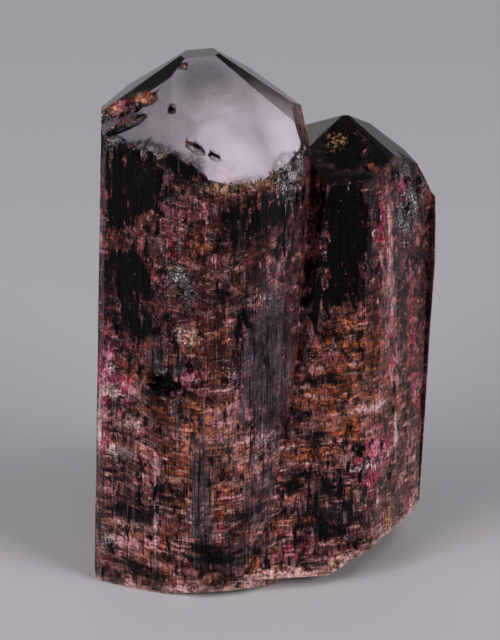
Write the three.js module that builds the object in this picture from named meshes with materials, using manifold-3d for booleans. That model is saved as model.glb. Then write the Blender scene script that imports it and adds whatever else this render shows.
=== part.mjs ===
// Rough tourmaline: a large upright crystal and a smaller one grown into its side, one solid.
// Millimetres, +Z up, the front towards -Y. Azimuth 0 faces the front and turns towards +X.
// All heights are over the level at which the axes were laid out: the base reaches a little lower.

import * as THREE from 'three';
import { mergeVertices } from 'three/addons/utils/BufferGeometryUtils.js';
import Module from 'manifold-3d';

const wasm = await Module();
wasm.setup();

const FLOOR = -0.95;              // level of the lowest points of the broken base

// Large crystal: its foot is the start of all x and y below
const LARGE = {
  foot: { x: 0, y: 0 },
  lean: { right: 0.0255, back: 0 },     // millimetres sideways for each one of height
  seed: 11,
  ledgeWidth: 1.7,
  levels: [FLOOR, 0.3, 8, 17, 26, 35, 44, 53, 73],
  walls: [
    { azimuth: -172, distance: 11.9, roughness: 0.9 },
    { azimuth: -150.7, distance: 12.0, roughness: 1.0 },
    { azimuth: -120.7, distance: 12.7, roughness: 0.9 },
    { azimuth: -89.4, distance: 12.7, roughness: 0.7 },
    { azimuth: -58.6, distance: 14.15, roughness: 0.6 },
    { azimuth: -26.3, distance: 12.22, roughness: 0.6 },
    { azimuth: -14.9, distance: 11.88, roughness: 0.7 },
    { azimuth: 3.3, distance: 12.45, roughness: 0.6 },
    { azimuth: 20.3, distance: 12.75, roughness: 0.5 },
    { azimuth: 37.3, distance: 13.05, roughness: 0.6 },
    { azimuth: 54.3, distance: 13.35, roughness: 0.6 },
    { azimuth: 77.3, distance: 13.2, roughness: 0.6 },
    { azimuth: 101.4, distance: 12.9, roughness: 0.8 },
    { azimuth: 125.4, distance: 12.6, roughness: 0.9 },
    { azimuth: 149.4, distance: 12.05, roughness: 1.0 },
    { azimuth: 170, distance: 11.8, roughness: 0.9 },
  ],
  // End faces: the way each looks, its slope from level, and its height over the foot
  faces: [
    { azimuth: 90, slope: 1.5, height: 67.34 },        // small flat on the top
    { azimuth: 20.7, slope: 45.1, height: 68.32 },     // big front face
    { azimuth: -22.3, slope: 44.8, height: 70.07 },    // lower left face
    { azimuth: -61, slope: 31.5, height: 68.2 },       // dark strip on the left
    { azimuth: 61.4, slope: 34.6, height: 69.0 },      // dark strip on the right
    { azimuth: -110.8, slope: 37.7, height: 68.26 },   // pale strip, back left
    { azimuth: 113.6, slope: 37.7, height: 69.83 },    // pale strip, back right
    { azimuth: -164.3, slope: 40.1, height: 68.69 },   // back face
    { azimuth: 87.4, slope: 67.5, height: 90.7 },      // worn shoulder over the small crystal
  ],
  // Broken base: planes by a point on each and the way they look
  breaks: [
    { point: [3.6, -12.2, 0.05], looks: [0.06, -0.35, -1] },
  ],
};

// Small crystal: leans back as it rises, so low down its front wall comes out before the large one
const SMALL = {
  foot: { x: 17.85, y: 0 },
  lean: { right: 0.0133, back: 0.1375 },
  seed: 29,
  ledgeWidth: 1.7,
  levels: [FLOOR, 0.3, 8, 17, 26, 36, 46, 63],
  walls: [
    { azimuth: -160.5, distance: 9.0, roughness: 0.9 },
    { azimuth: -125.6, distance: 11.0, roughness: 0.4 },
    { azimuth: -88.7, distance: 12.6, roughness: 0.2 },
    { azimuth: 12.9, distance: 8.6, roughness: 0.5 },
    { azimuth: 39.5, distance: 8.3, roughness: 0.6 },
    { azimuth: 59.4, distance: 7.5, roughness: 0.7, wider: [[FLOOR, 0], [62, 0.4]] },
    { azimuth: 73.4, distance: 8.7, roughness: 0.7, wider: [[FLOOR, 0], [36, 1.3], [62, 1.3]] },
    { azimuth: 94.4, distance: 11.15, roughness: 0.6, wider: [[FLOOR, 0], [36, 1.3], [62, 1.0]] },
    { azimuth: 127.4, distance: 12.0, roughness: 0.9 },
    { azimuth: 161.5, distance: 9.6, roughness: 0.9 },
  ],
  faces: [
    { azimuth: 11.1, slope: 33.9, height: 52.22 },     // front face
    { azimuth: 56.4, slope: 28.9, height: 55.09 },     // narrow strip beside it
    { azimuth: 101, slope: 38.4, height: 58.85 },      // pale face, back right
    { azimuth: -80, slope: 26.5, height: 55.72 },      // pale face on the left
    { azimuth: -170.3, slope: 37.2, height: 61.72 },   // back face
    { azimuth: 149, slope: 62.3, height: 76.5 },       // steep face, back right
    { azimuth: 112.4, slope: 60.5, height: 71.8 },     // steep face on the right
  ],
  // The corner beside the large crystal: what lies beyond both of these is gone
  corner: [
    { azimuth: -44.4, slope: 77.9, height: 61.9 },
    { azimuth: -44, slope: 71.3, height: 48.8 },
  ],
  breaks: [
    { point: [12, -10, 0.85], looks: [0.03, -0.35, -1] },
    { point: [17.3, -9, 0.9], looks: [0.6, -0.28, -1] },
  ],
};

const RISER_WIDTH = 0.14;         // a ledge steps to the next one over this width
const LEDGE_DEPTH = 0.34;         // deepest ledge under the outer wall plane
const LEDGE_ENDS = 0.35;          // share of ledges that change depth from one level to the next
const RIM = { inset: [0.05, 0.7], rise: [-0.4, 0.7] };  // broken edge round the base

// Hollows etched or chipped out, by centre, half sizes (across, in, up) and the way they open.
// tilt raises the right end of a long one, and rough is how far its points stray from an even egg.
const HOLLOWS = [
  // chipped hollow at the top left corner, and the shallow scoop under it
  { at: [-10.5, -4.5, 61.1], size: [1.3, 1.5, 1.7], azimuth: -60 },
  { at: [-9.5, -4.5, 61.8], size: [1.5, 1.6, 1.8], azimuth: -55 },
  { at: [-8.2, -4.6, 62.3], size: [1.5, 1.6, 1.7], azimuth: -50 },
  { at: [-7.0, -4.8, 62.9], size: [1.4, 1.4, 1.5], azimuth: -50 },
  { at: [-5.8, -4.9, 63.4], size: [1.3, 1.2, 1.3], azimuth: -40 },
  { at: [-4.9, -5.2, 63.7], size: [0.8, 0.8, 1.0], azimuth: -40 },
  { at: [-8.0, -7.1, 61.05], size: [3.3, 0.95, 0.85], azimuth: 6, tilt: 25, rough: 0.04 },
  // slots in the big front face
  { at: [0.5, -9.9, 58.95], size: [1.5, 0.85, 0.62], azimuth: -11, tilt: -28, rough: 0.12 },
  { at: [2.8, -10.15, 57.95], size: [0.95, 0.65, 0.5], azimuth: -8, tilt: -25, rough: 0.12 },
  { at: [-2.4, -6.9, 62.7], size: [0.5, 0.6, 0.6], azimuth: -10 },
  // etched corner at the right of the front face
  { at: [10.7, -10.5, 55.8], size: [1.2, 0.9, 1.0], azimuth: 45 },
  { at: [12.2, -9.1, 56.8], size: [1.3, 0.9, 1.2], azimuth: 50 },
  { at: [11.9, -9.1, 54.4], size: [1.6, 1.0, 1.3], azimuth: 50 },
  { at: [13.4, -7.1, 55.3], size: [1.2, 0.9, 1.4], azimuth: 60 },
  { at: [12.5, -8.2, 51.9], size: [1.7, 0.9, 1.4], azimuth: 55 },
  { at: [14.2, -5.4, 52.7], size: [1.3, 0.8, 1.5], azimuth: 70 },
  { at: [14.4, -4.6, 57.5], size: [1.0, 1.0, 1.2], azimuth: 75 },
  { at: [13.9, -1.3, 60.5], size: [1.3, 1.1, 0.9], azimuth: 80 },
  { at: [14.5, 1.2, 60.7], size: [1.2, 1.0, 0.9], azimuth: 95 },
  // open pit in the left front wall, and the worn patches over it
  { at: [-6.0, -9.9, 29.4], size: [1.2, 0.8, 0.9], azimuth: -20 },
  { at: [-4.3, -10.5, 28.1], size: [1.5, 1.2, 1.1], azimuth: -20 },
  { at: [-2.1, -11.3, 27.4], size: [1.7, 1.8, 1.3], azimuth: -20 },
  { at: [-0.5, -11.9, 26.7], size: [1.3, 1.0, 0.9], azimuth: -10 },
  { at: [-0.9, -11.8, 30.2], size: [1.4, 1.1, 1.6], azimuth: -15 },
  { at: [-1.2, -11.6, 42.7], size: [1.9, 0.8, 1.7], azimuth: -20 },
  { at: [-1.0, -11.7, 39.9], size: [1.7, 0.7, 1.6], azimuth: -20 },
  { at: [-0.8, -11.8, 35.0], size: [1.7, 0.7, 1.6], azimuth: -20 },
  { at: [-8.8, -8.9, 34.1], size: [1.7, 0.7, 1.2], azimuth: -25 },
  { at: [-9.6, -8.8, 27.3], size: [1.9, 0.8, 1.4], azimuth: -30 },
  { at: [-7.8, -9.4, 24.1], size: [2.1, 0.8, 0.8], azimuth: -20 },
  { at: [-12.2, -5.1, 29.8], size: [1.5, 0.6, 1.8], azimuth: -80 },
  { at: [-12.4, -2.9, 21.3], size: [1.4, 0.5, 2.2], azimuth: -88 },
  // pit low on the front of the small crystal
  { at: [20.7, -6.5, 16.9], size: [1.1, 1.4, 0.9], azimuth: 20 },
  { at: [22.4, -5.6, 16.5], size: [1.4, 1.2, 1.3], azimuth: 30 },
  { at: [24.4, -4.1, 16.1], size: [1.6, 0.9, 1.3], azimuth: 45 },
  { at: [26.3, -1.5, 15.6], size: [1.2, 0.6, 1.1], azimuth: 60 },
  // druse at the top right of the small crystal
  { at: [25.3, 2.6, 50.5], size: [1.1, 0.8, 1.1], azimuth: 60 },
  { at: [26.6, 4.3, 48.8], size: [1.4, 0.8, 1.4], azimuth: 65 },
  { at: [28.0, 5.9, 50.4], size: [1.1, 0.9, 1.3], azimuth: 70 },
  { at: [28.6, 6.3, 47.0], size: [1.3, 0.8, 1.5], azimuth: 70 },
  { at: [30.0, 8.9, 49.3], size: [1.2, 1.1, 1.0], azimuth: 95 },
  // shell-shaped chips along the broken base
  { at: [-10.9, -9.3, -0.9], size: [1.2, 0.8, 0.9], azimuth: -30 },
  { at: [-7.6, -10.9, -1.2], size: [1.7, 0.9, 0.8], azimuth: -25 },
  { at: [-4.6, -11.9, -1.2], size: [1.4, 0.7, 0.6], azimuth: -15 },
  { at: [1.5, -12.9, -0.9], size: [1.3, 0.9, 0.8], azimuth: 0 },
  { at: [7.3, -11.9, -0.4], size: [1.5, 1.2, 1.1], azimuth: 20 },
  { at: [10.2, -11.3, 0.0], size: [2.0, 0.9, 0.8], azimuth: 15 },
  { at: [15.6, -10.0, 0.4], size: [1.8, 0.9, 0.8], azimuth: 15 },
  { at: [20.4, -8.6, 1.6], size: [2.4, 1.4, 1.2], azimuth: 30 },
  { at: [24.6, -4.4, 3.0], size: [2.0, 1.3, 1.2], azimuth: 55 },
  { at: [28.4, 3.6, 2.8], size: [2.2, 1.2, 1.1], azimuth: 85 },
  // broken bays on the back walls
  { at: [-2.3, 12.4, 40.5], size: [3.0, 0.9, 4.5], azimuth: 178 },
  { at: [5.1, 12.5, 18.3], size: [2.6, 0.9, 3.4], azimuth: 165 },
  { at: [17.8, 12.2, 8.0], size: [2.8, 1.0, 3.0], azimuth: 175 },
];

// Druses: clusters of small six-sided stubs, strewn along a line over an etched place
const DRUSES = [
  { from: [24.4, 3.0, 51.4], to: [27.8, 7.6, 47.6], strewn: 1.3, count: 20, radius: [0.3, 0.62], seed: 5 },
  { from: [25.0, 3.8, 47.6], to: [27.4, 5.8, 45.2], strewn: 1.1, count: 9, radius: [0.25, 0.5], seed: 6 },
  { from: [11.6, -8.4, 56.6], to: [12.8, -6.6, 50.6], strewn: 1.2, count: 16, radius: [0.28, 0.6], seed: 7 },
  { from: [12.9, -5.0, 58.2], to: [12.5, -1.4, 59.2], strewn: 0.7, count: 8, radius: [0.25, 0.5], seed: 8 },
  { from: [-10.4, -4.2, 60.7], to: [-6.4, -4.6, 62.6], strewn: 1.1, count: 10, radius: [0.25, 0.55], seed: 9 },
  { from: [-0.8, -11.1, 30.9], to: [-3.6, -10.1, 27.6], strewn: 0.4, count: 5, radius: [0.3, 0.6], seed: 21 },
  { from: [22.2, -4.5, 17.2], to: [24.0, -3.2, 16.8], strewn: 0.3, count: 3, radius: [0.3, 0.5], seed: 12 },
];
const STUB_LENGTH = 1.5;
const STUB_TIP = 0.8;             // height of the blunt point over a radius of 1
const STUB_TOP = 0.3;             // share of the radius that the flat tip keeps
const STUB_TILT = 0.9;            // range of the angles, in radians, at which stubs stand off upright

const LEDGE_STRAY = 0.6;          // how far a ledge's edge strays from even spacing, over its width
const RIM_DRIFT = 0.6;            // how fast the broken rim changes from one ledge to the next
const HOLLOW_TURN = 0.8;          // range of the angles, in radians, by which hollows are turned
const CUTTER_SIZE = 160;          // side of the blocks that cut a crystal along a plane
const ROUGH_SHARE = 0.2;          // how far a hollow's points stray where it doesn't say

function randomFrom(seed) {
  let state = seed >>> 0;
  return () => {
    state = (state + 0x6d2b79f5) >>> 0;
    let mixed = Math.imul(state ^ (state >>> 15), 1 | state);
    mixed = (mixed + Math.imul(mixed ^ (mixed >>> 7), 61 | mixed)) ^ mixed;
    return ((mixed ^ (mixed >>> 14)) >>> 0) / 4294967296;
  };
}

function solidFrom(geometry) {
  geometry.deleteAttribute('normal');
  geometry.deleteAttribute('uv');
  const welded = mergeVertices(geometry, 1e-5);
  const mesh = new wasm.Mesh({
    numProp: 3,
    vertProperties: Float32Array.from(welded.attributes.position.array),
    triVerts: Uint32Array.from(welded.index.array),
  });
  mesh.merge();
  return new wasm.Manifold(mesh);
}

function outward(azimuth) {
  const angle = THREE.MathUtils.degToRad(azimuth);
  return { x: Math.sin(angle), y: -Math.cos(angle) };
}

function interpolate(table, z) {
  const last = table[table.length - 1];
  if (z >= last[0]) return last[1];
  const upper = table.findIndex((entry) => entry[0] > z);
  const [low, high] = [table[upper - 1], table[upper]];
  return THREE.MathUtils.mapLinear(z, low[0], high[0], low[1], high[1]);
}

function wallDistance(wall, z) {
  return wall.distance + (wall.wider ? interpolate(wall.wider, z) : 0);
}

// Where two neighbouring walls meet at a height, measured from the crystal's axis
function cornerOf(wall, next, z) {
  const a = outward(wall.azimuth);
  const b = outward(next.azimuth);
  const [da, db] = [wallDistance(wall, z), wallDistance(next, z)];
  const area = a.x * b.y - a.y * b.x;
  return new THREE.Vector2((da * b.y - db * a.y) / area, (a.x * db - b.x * da) / area);
}

// The ledges of a prism: each wall is split into narrow upright steps of differing depth
function planLedges(crystal, random) {
  const { walls, levels, ledgeWidth } = crystal;
  const ledges = [];
  walls.forEach((wall, index) => {
    const before = walls[(index + walls.length - 1) % walls.length];
    const after = walls[(index + 1) % walls.length];
    const middle = levels[Math.floor(levels.length / 2)];
    const width = cornerOf(before, wall, middle).distanceTo(cornerOf(wall, after, middle));
    const count = Math.max(1, Math.round(width / ledgeWidth));
    const marks = [0];
    for (let i = 1; i < count; i += 1) marks.push((i + (random() - 0.5) * LEDGE_STRAY) / count);
    marks.push(1);
    for (let i = 0; i < count; i += 1) {
      const depths = [];
      levels.forEach((level, k) => {
        const fresh = k === 0 || random() < LEDGE_ENDS;
        depths.push(fresh ? random() * LEDGE_DEPTH * wall.roughness : depths[k - 1]);
      });
      const half = RISER_WIDTH / 2 / width;
      ledges.push({ before, wall, after, at: marks[i] + half, depths });
      ledges.push({ before, wall, after, at: marks[i + 1] - half, depths });
    }
  });
  return ledges;
}

// A closed prism through rings of points, one ring at each level
function prismOf(crystal) {
  const random = randomFrom(crystal.seed);
  const { foot, lean, levels } = crystal;
  const ledges = planLedges(crystal, random);
  const inset = [];
  const rise = [];
  ledges.forEach((ledge, i) => {
    const pick = (range, last) => {
      const value = THREE.MathUtils.lerp(range[0], range[1], random());
      return last === undefined ? value : THREE.MathUtils.lerp(last, value, RIM_DRIFT);
    };
    inset.push(pick(RIM.inset, inset[i - 1]));
    rise.push(pick(RIM.rise, rise[i - 1]));
  });
  const positions = [];
  levels.forEach((level, k) => {
    ledges.forEach((ledge, i) => {
      const z = k === 1 ? rise[i] : level;
      const start = cornerOf(ledge.before, ledge.wall, z);
      const end = cornerOf(ledge.wall, ledge.after, z);
      const out = outward(ledge.wall.azimuth);
      const depth = ledge.depths[k] + (k === 0 ? inset[i] : 0);
      const x = THREE.MathUtils.lerp(start.x, end.x, ledge.at) - out.x * depth;
      const y = THREE.MathUtils.lerp(start.y, end.y, ledge.at) - out.y * depth;
      positions.push(foot.x + lean.right * z + x, foot.y + lean.back * z + y, z);
    });
  });
  const count = ledges.length;
  const index = [];
  for (let k = 0; k < levels.length - 1; k += 1) {
    for (let i = 0; i < count; i += 1) {
      const a = k * count + i;
      const b = k * count + ((i + 1) % count);
      index.push(a, b, b + count, a, b + count, a + count);
    }
  }
  const bottom = positions.length / 3;
  const topLevel = levels[levels.length - 1];
  const topRing = (levels.length - 1) * count;
  positions.push(foot.x, foot.y, levels[0]);
  positions.push(foot.x + lean.right * topLevel, foot.y + lean.back * topLevel, topLevel);
  for (let i = 0; i < count; i += 1) {
    const j = (i + 1) % count;
    index.push(bottom, j, i);
    index.push(bottom + 1, topRing + i, topRing + j);
  }
  const geometry = new THREE.BufferGeometry();
  geometry.setAttribute('position', new THREE.Float32BufferAttribute(positions, 3));
  geometry.setIndex(index);
  return solidFrom(geometry);
}

// Everything beyond a plane, as a block whose lower face lies on it
function beyondPlane(normal, point) {
  const up = new THREE.Vector3(0, 0, 1);
  const block = new THREE.BoxGeometry(CUTTER_SIZE, CUTTER_SIZE, CUTTER_SIZE);
  block.translate(0, 0, CUTTER_SIZE / 2);
  block.applyQuaternion(new THREE.Quaternion().setFromUnitVectors(up, normal));
  block.translate(point.x, point.y, point.z);
  return solidFrom(block);
}

function beyondFace(face, foot) {
  const flat = outward(face.azimuth);
  const tilt = THREE.MathUtils.degToRad(face.slope);
  const sine = Math.sin(tilt);
  const normal = new THREE.Vector3(flat.x * sine, flat.y * sine, Math.cos(tilt));
  return beyondPlane(normal, new THREE.Vector3(foot.x, foot.y, face.height));
}

function crystalFrom(crystal) {
  let solid = prismOf(crystal);
  for (const face of crystal.faces) {
    solid = solid.subtract(beyondFace(face, crystal.foot));
  }
  if (crystal.corner) {
    const [upper, lower] = crystal.corner.map((face) => beyondFace(face, crystal.foot));
    solid = solid.subtract(upper.intersect(lower));
  }
  for (const { point, looks } of crystal.breaks) {
    const normal = new THREE.Vector3(...looks).normalize();
    solid = solid.subtract(beyondPlane(normal, new THREE.Vector3(...point)));
  }
  return solid;
}

// A rough egg-shaped void: its local -Y looks out of the wall it opens in
function hollowFrom({ at, size, azimuth, tilt, rough = ROUGH_SHARE }, seed) {
  const random = randomFrom(seed);
  const ball = new THREE.IcosahedronGeometry(1, 1);
  ball.deleteAttribute('normal');
  ball.deleteAttribute('uv');
  const shape = mergeVertices(ball, 1e-4);
  const points = shape.attributes.position;
  for (let i = 0; i < points.count; i += 1) {
    const stretch = 1 + (random() * 2 - 1) * rough;
    points.setXYZ(i, points.getX(i) * stretch, points.getY(i) * stretch, points.getZ(i) * stretch);
  }
  shape.scale(size[0], size[1], size[2]);
  const turn = (random() - 0.5) * HOLLOW_TURN;
  shape.rotateY(tilt === undefined ? turn : -THREE.MathUtils.degToRad(tilt));
  shape.rotateZ(THREE.MathUtils.degToRad(azimuth));
  shape.translate(at[0], at[1], at[2]);
  return solidFrom(shape);
}

function stubFrom(at, radius, random) {
  const profile = [
    new THREE.Vector2(0, -STUB_LENGTH),
    new THREE.Vector2(radius, -STUB_LENGTH),
    new THREE.Vector2(radius, -STUB_TIP * radius),
    new THREE.Vector2(radius * STUB_TOP, 0),
    new THREE.Vector2(0, 0),
  ];
  const stub = new THREE.LatheGeometry(profile, 6);
  stub.rotateX(Math.PI / 2);
  stub.rotateZ(random() * Math.PI);
  stub.rotateX((random() - 0.5) * STUB_TILT);
  stub.rotateY((random() - 0.5) * STUB_TILT);
  stub.translate(at.x, at.y, at.z);
  return solidFrom(stub);
}

function druseFrom({ from, to, strewn, count, radius, seed }) {
  const random = randomFrom(seed);
  const start = new THREE.Vector3(...from);
  const end = new THREE.Vector3(...to);
  const stubs = [];
  for (let i = 0; i < count; i += 1) {
    const at = start.clone().lerp(end, (i + random()) / count);
    at.x += (random() - 0.5) * strewn;
    at.y += (random() - 0.5) * strewn;
    at.z += (random() - 0.5) * strewn;
    stubs.push(stubFrom(at, THREE.MathUtils.lerp(radius[0], radius[1], random()), random));
  }
  return stubs;
}

let rough = crystalFrom(LARGE).add(crystalFrom(SMALL));
HOLLOWS.forEach((hollow, i) => {
  rough = rough.subtract(hollowFrom(hollow, 100 + i));
});
for (const stub of DRUSES.flatMap(druseFrom)) {
  rough = rough.add(stub);
}

const finished = rough.getMesh();
const geometry = new THREE.BufferGeometry();
geometry.setAttribute('position', new THREE.BufferAttribute(finished.vertProperties, 3));
geometry.setIndex(new THREE.BufferAttribute(finished.triVerts, 1));
geometry.computeBoundingBox();
const middle = geometry.boundingBox.getCenter(new THREE.Vector3());
geometry.translate(-middle.x, -middle.y, -FLOOR);
geometry.computeVertexNormals();

const tourmaline = new THREE.MeshStandardMaterial({ color: '#4a1f26', roughness: 0.22, metalness: 0 });
const crystals = new THREE.Mesh(geometry, tourmaline);
crystals.name = 'tourmaline_crystals';

const rubellite = new THREE.Group();
rubellite.add(crystals);

export default rubellite;
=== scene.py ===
"""Looks of a rough rubellite tourmaline: two crystals grown together, standing on a broken base.

The solid gives the place and the size of every face. Here its skin is cut finer, given the
grooves and the etching that growth and weathering left on it, and dressed as dark see-through
tourmaline with pink, rusty and frosted veils. Lengths are millimetres until a mesh is made.
"""
import logging
import math
from dataclasses import dataclass, field
from enum import Enum
from typing import Any, Mapping

import bmesh
import bpy
import numpy as np
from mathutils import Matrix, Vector
from mathutils.kdtree import KDTree


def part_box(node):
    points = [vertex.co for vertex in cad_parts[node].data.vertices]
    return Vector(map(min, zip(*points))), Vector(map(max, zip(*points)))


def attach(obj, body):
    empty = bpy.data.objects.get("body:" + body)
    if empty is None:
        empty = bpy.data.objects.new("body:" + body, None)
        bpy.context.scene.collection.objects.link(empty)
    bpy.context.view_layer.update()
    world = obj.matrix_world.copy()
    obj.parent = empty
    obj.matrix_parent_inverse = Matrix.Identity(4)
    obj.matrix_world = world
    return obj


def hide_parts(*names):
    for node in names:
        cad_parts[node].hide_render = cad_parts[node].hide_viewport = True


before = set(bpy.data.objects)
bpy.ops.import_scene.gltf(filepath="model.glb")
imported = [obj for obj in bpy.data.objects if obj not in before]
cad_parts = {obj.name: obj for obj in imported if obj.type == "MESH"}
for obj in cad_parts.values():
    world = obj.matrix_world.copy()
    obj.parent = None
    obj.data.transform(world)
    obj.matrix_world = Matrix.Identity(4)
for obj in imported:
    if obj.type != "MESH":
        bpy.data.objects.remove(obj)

MM = 0.001
NODE = "tourmaline_crystals"
BODY = "root"

# Fineness of the skin: points closer than MERGE (metres) are one, the rest is in mm
MERGE = 2e-6
END_SPAN = 0.7
WALL_SPAN = (0.34, 2.6)
BASE_SPAN = 0.9
ROUGH_SPAN = 0.42
ROUGH_FROM = 0.3
TINY = 1e-12
# Where the end faces, the base and the lower half are: upward part of the normal, heights in mm
END_FACE_UP = 0.4
FACES_FROM = 48.0
BASE_DOWN = 0.5
BASE_TOP = 14.0
LOW_FROM = 35.0
LOW_FADE = 14.0
# Edges: turn in radians, shading angle in degrees, reach in mm
EDGE_TURN = 0.62
SHARP_TURN = 20.0
EDGE_REACH = 0.45
RIM_REACH = 2.2
BASE_REACH = 0.6
# How stained places take the mirror shine from an end face: rate times strength, less a start
DULL_RATE = 2.0
DULL_FROM = 0.8
# Bands fall towards the middle and rise again, mm
BAND_MIDDLE = -8.0
BAND_REACH = 10.0
BAND_BEND = 0.018
# Patches strewn over the sides that the photograph doesn't show
HIDDEN_SEED = 11
HIDDEN_FACING = 0.3
HIDDEN_PATCHES = 35
HIDDEN_WIDTH = (1.5, 4.0)
HIDDEN_HEIGHT = (1.5, 6.0)
HIDDEN_STRENGTH = (0.5, 1.0)
# the sheen zone among these paints a reflection on the hidden sides
HIDDEN_ZONES = ("CLEAR", "CLEAR", "PINK", "RUST", "SHEEN", "FROST", "BAND")
# A patch is whole inside PATCH_END - PATCH_FADE of its half sizes and gone at PATCH_END
PATCH_END = 1.5
PATCH_FADE = 1.1
# Noise: each stain starts elsewhere in it, and the values that grain stretches
STAIN_STEP = (7.3, 3.1, 5.7)
STAIN_BITE = 0.6
GRAIN_BITE = 0.7
GRAIN_RANGE = (0.32, 0.68)

log = logging.getLogger("tourmaline")


class Zone(Enum):
    """What a patch of the skin looks like."""

    CLEAR = "clear"
    PINK = "pink"
    RUST = "rust"
    FROST = "frost"
    # sheen: a mauve grey reflection painted on smooth walls
    SHEEN = "painted_sheen"
    TAN = "tan"
    BAND = "band"
    # bloom: a pale reflection of the light painted on the broad end face
    BLOOM = "painted_highlight"
    MILK = "milk"
    CALM = "calm"
    CRUST = "crust"


def linear(colour: str) -> tuple[float, float, float, float]:
    """Turns an sRGB hex colour into the linear values that a shader takes.

    Args:
        colour: six hex digits with a leading hash sign.

    Returns:
        Red, green, blue and an alpha of one.
    """
    parts = [int(colour[i:i + 2], 16) / 255 for i in (1, 3, 5)]
    red, green, blue = (p / 12.92 if p <= 0.04045 else ((p + 0.055) / 1.055) ** 2.4 for p in parts)
    return red, green, blue, 1.0


def add_node(
    tree: bpy.types.NodeTree,
    kind: str,
    inputs: Mapping[str | int, Any] | None = None,
    **settings: Any,
) -> bpy.types.Node:
    """Adds one node to a tree.

    Args:
        tree: the tree that gets the node.
        kind: the node's type name.
        inputs: for each input, by name or number, its value or the socket that feeds it.
        settings: the node's own options by name.

    Returns:
        The new node.
    """
    node = tree.nodes.new(kind)
    for name, value in settings.items():
        setattr(node, name, value)
    for key, value in (inputs or {}).items():
        if isinstance(value, bpy.types.NodeSocket):
            tree.links.new(value, node.inputs[key])
        else:
            node.inputs[key].default_value = value
    return node


@dataclass(frozen=True)
class Patch:
    """A soft-edged place on the skin.

    width and height are its half sizes in millimetres, across and up.
    """

    zone: Zone
    centre: tuple[float, float, float]
    width: float
    height: float
    strength: float

    def weight(self, points: np.ndarray) -> np.ndarray:
        """How strongly each point belongs to the patch, from 0 to 1."""
        away = points - np.array(self.centre)
        across = (away[:, 0] ** 2 + away[:, 1] ** 2) / self.width ** 2
        distance = np.sqrt(across + away[:, 2] ** 2 / self.height ** 2)
        fade = np.clip((PATCH_END - distance) / PATCH_FADE, 0, 1)
        return self.strength * fade * fade * (3 - 2 * fade)


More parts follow.
